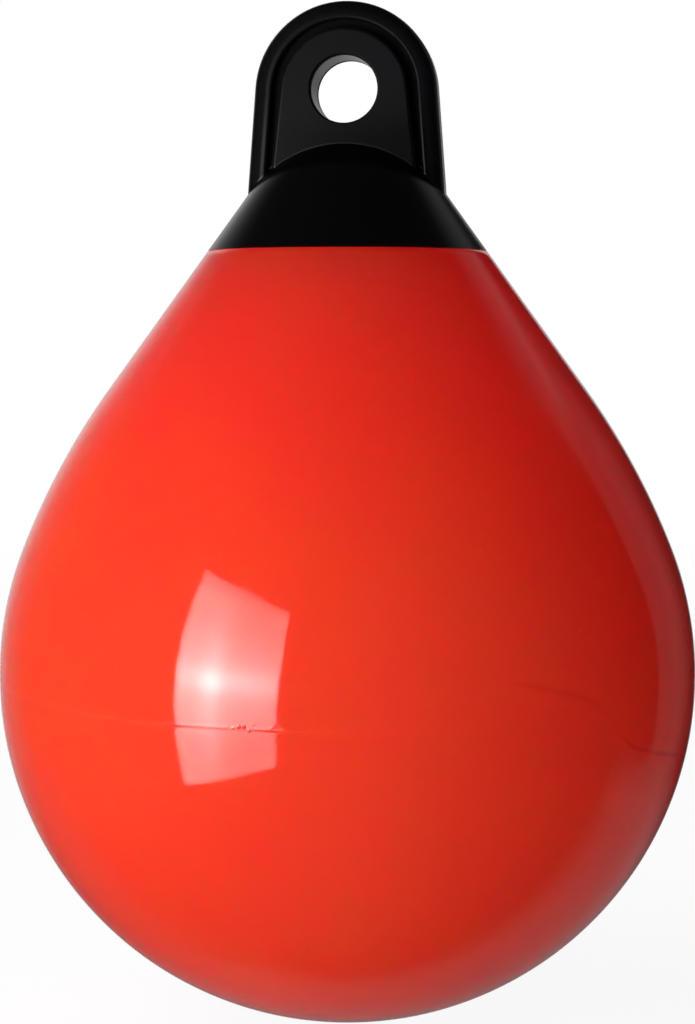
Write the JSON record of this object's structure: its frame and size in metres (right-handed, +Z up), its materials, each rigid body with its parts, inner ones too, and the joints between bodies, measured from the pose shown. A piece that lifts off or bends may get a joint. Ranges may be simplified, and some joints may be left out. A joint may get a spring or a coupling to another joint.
{
  "type": "inflatable round buoy",
  "caption": "Drop shaped inflatable vinyl buoy with a moulded cap, a thick lug with a round rope eye, and an air valve with a slotted plug.",
  "frame": {"origin": "centre of the rope eye, on the buoy's axis", "axes": "+Z up along the buoy's axis from the belly to the eye, +Y along the bore of the eye towards the side with the air valve, +X across the lug"},
  "size_m": [0.2006, 0.2006, 0.2912],
  "materials": {
    "red_vinyl": "glossy moulded vinyl, orange red",
    "black_vinyl": "hard moulded vinyl, black, semi gloss",
    "valve_plastic": "moulded plastic, black, satin",
    "washer_rubber": "black rubber, matt"
  },
  "bodies": {
    "root": {"float_body": "red_vinyl", "eye_cap": "black_vinyl", "valve_seat": "valve_plastic", "valve_washer": "washer_rubber", "valve_plug": "valve_plastic"}
  },
  "joints": []
}
